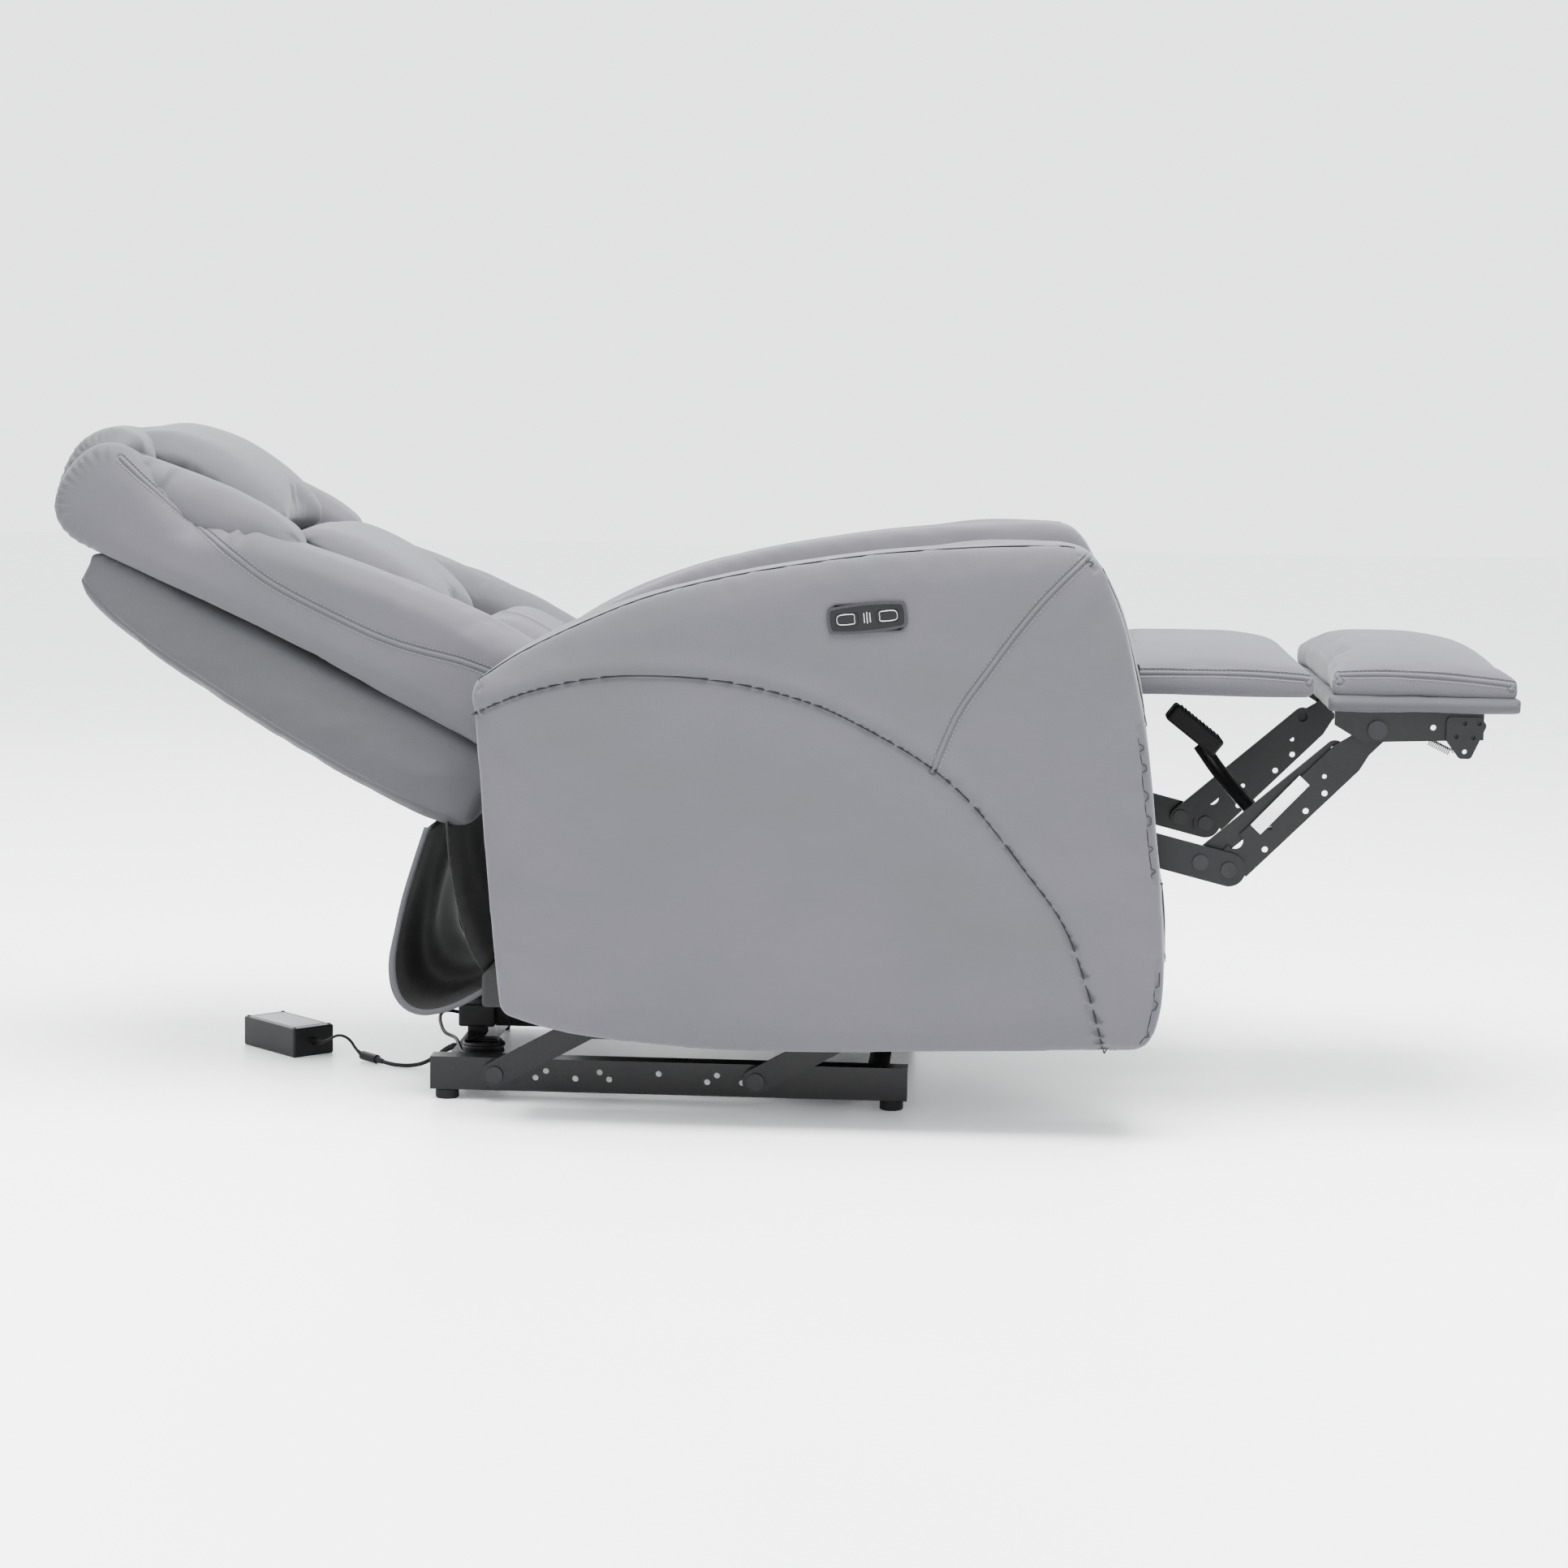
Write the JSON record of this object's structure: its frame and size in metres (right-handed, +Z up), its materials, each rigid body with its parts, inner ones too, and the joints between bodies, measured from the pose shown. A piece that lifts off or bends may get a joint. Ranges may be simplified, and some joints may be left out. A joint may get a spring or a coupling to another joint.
{
  "type": "recliner armchair",
  "caption": "Upholstered power recliner armchair with a folding footrest, a reclining padded back and a wall-clearing swing base.",
  "frame": {"origin": "on the floor, in the middle of the length and width of the chair as stored, back reclined and footrest out", "axes": "+X towards the footrest, +Y to the sitter's left, +Z up"},
  "size_m": [1.6684, 0.7525, 0.7716],
  "materials": {
    "black_steel": "satin powder coat",
    "bolt_steel": "black zinc",
    "black_rubber": "matt",
    "drive_housing": "fine grain",
    "slider_plastic": "matt",
    "cord_black": "soft pvc",
    "adapter_plastic": "fine grain",
    "switch_gloss": "gloss",
    "bezel_metal": "dark chrome",
    "timber": "sawn plywood",
    "velvet": "short-pile velvet"
  },
  "bodies": {
    "base": {"base_rails": "black_steel", "base_cross_tubes": "black_steel", "base_feet": "black_rubber", "swing_base_pins": "bolt_steel", "drive_gearbox": "drive_housing", "drive_motor": "drive_housing", "screw_rail": "black_steel", "power_gland": "black_rubber", "motor_cable": "cord_black", "cable_bundle": "cord_black", "adapter_case": "adapter_plastic", "adapter_lead": "cord_black", "lead_connector": "cord_black", "power_lead": "cord_black"},
    "slider": {"drive_slider": "slider_plastic"},
    "front_swing": {"front_swing_links": "black_steel"},
    "rear_swing": {"rear_swing_links": "black_steel"},
    "chair": {"side_plates": "black_steel", "mechanism_bolts": "bolt_steel", "mid_pad_brackets": "black_steel", "seat_side_boards": "timber", "seat_frame_rails": "timber", "seat_springs": "bolt_steel", "seat_cushion": "velvet", "arm_frames": "timber", "arm_outer_left": "velvet", "arm_outer_right": "velvet", "arm_inner_left": "velvet", "arm_inner_right": "velvet", "switch_housing": "switch_gloss", "switch_bezel": "bezel_metal", "rear_flap": "velvet"},
    "open_button": {"button_open": "switch_gloss"},
    "close_button": {"button_close": "switch_gloss"},
    "lower_arms": {"torque_tube": "black_steel", "lower_links": "black_steel", "lower_link_rivets": "bolt_steel"},
    "upper_arms": {"upper_links": "black_steel", "upper_link_rivets": "bolt_steel", "bumper_arm": "black_steel", "bumper_pad": "black_rubber"},
    "parallel_arms": {"parallel_links": "black_steel"},
    "footrest": {"footrest_brackets": "black_steel", "footrest_end_plates": "black_steel", "footrest_end_springs": "bolt_steel", "footrest_board": "velvet", "footrest_cushion": "velvet"},
    "middle_pad": {"mid_board": "timber", "mid_hinge_plates": "black_steel", "mid_cushion": "velvet"},
    "back": {"back_frame": "black_steel", "back_hinge_ears": "black_steel", "back_shell": "velvet", "back_core": "velvet", "wing_left": "velvet", "wing_right": "velvet", "head_pillow": "velvet", "lumbar_pillow": "velvet", "lower_pillow": "velvet", "head_roll": "velvet"}
  },
  "joints": [
    {"name": "front_swing_turn", "type": "hinge", "parent": "base", "child": "front_swing", "pos_m": [-0.02, 0, 0.032], "axis": [0, -1, 0], "range_deg": [0, 110.4]},
    {"name": "chair_level", "type": "hinge", "parent": "front_swing", "child": "chair", "pos_m": [0.0937, 0, 0.09502], "axis": [0, 1, 0], "range_deg": [0, 110.4]},
    {"name": "rear_swing_turn", "type": "hinge", "parent": "base", "child": "rear_swing", "pos_m": [-0.32, 0, 0.032], "axis": [0, -1, 0], "range_deg": [0, 110.4]},
    {"name": "back_recline", "type": "hinge", "parent": "chair", "child": "back", "pos_m": [-0.225, 0, 0.395], "axis": [0, 1, 0], "range_deg": [0, 48], "deforming": ["rear_flap"]},
    {"name": "footrest_drive", "type": "hinge", "parent": "chair", "child": "lower_arms", "pos_m": [0.28298, 0, 0.34285], "axis": [0, 1, 0], "range_deg": [0, 120]},
    {"name": "elbow", "type": "hinge", "parent": "lower_arms", "child": "upper_arms", "pos_m": [0.511, 0, 0.286], "axis": [0, -1, 0], "range_deg": [0, 87.6]},
    {"name": "parallel_pivot", "type": "hinge", "parent": "lower_arms", "child": "parallel_arms", "pos_m": [0.47898, 0, 0.29398], "axis": [0, -1, 0], "range_deg": [0, 96]},
    {"name": "knee", "type": "hinge", "parent": "upper_arms", "child": "footrest", "pos_m": [0.672, 0, 0.448], "axis": [0, 1, 0], "range_deg": [0, 57.6]},
    {"name": "mid_pad_hinge", "type": "hinge", "parent": "chair", "child": "middle_pad", "pos_m": [0.39, 0, 0.505], "axis": [0, 1, 0], "range_deg": [0, 90]},
    {"name": "slider_travel", "type": "slide", "parent": "base", "child": "slider", "axis": [-1, 0, 0], "range_m": [0, 0.18]},
    {"name": "open_press", "type": "slide", "parent": "chair", "child": "open_button", "axis": [0, 1, 0], "range_m": [0, 0.0015], "stiffness_N_per_m": 600},
    {"name": "close_press", "type": "slide", "parent": "chair", "child": "close_button", "axis": [0, 1, 0], "range_m": [0, 0.0015], "stiffness_N_per_m": 600}
  ],
  "couplings": [
    {"joint": "front_swing_turn", "follows": "back_recline", "ratio": 2.3},
    {"joint": "chair_level", "follows": "back_recline", "ratio": 2.3},
    {"joint": "rear_swing_turn", "follows": "back_recline", "ratio": 2.3},
    {"joint": "elbow", "follows": "footrest_drive", "ratio": 0.73},
    {"joint": "parallel_pivot", "follows": "footrest_drive", "ratio": 0.8},
    {"joint": "knee", "follows": "footrest_drive", "ratio": 0.48},
    {"joint": "mid_pad_hinge", "follows": "footrest_drive", "ratio": 0.75},
    {"joint": "slider_travel", "follows": "footrest_drive", "m_per_rad": 0.085944}
  ]
}
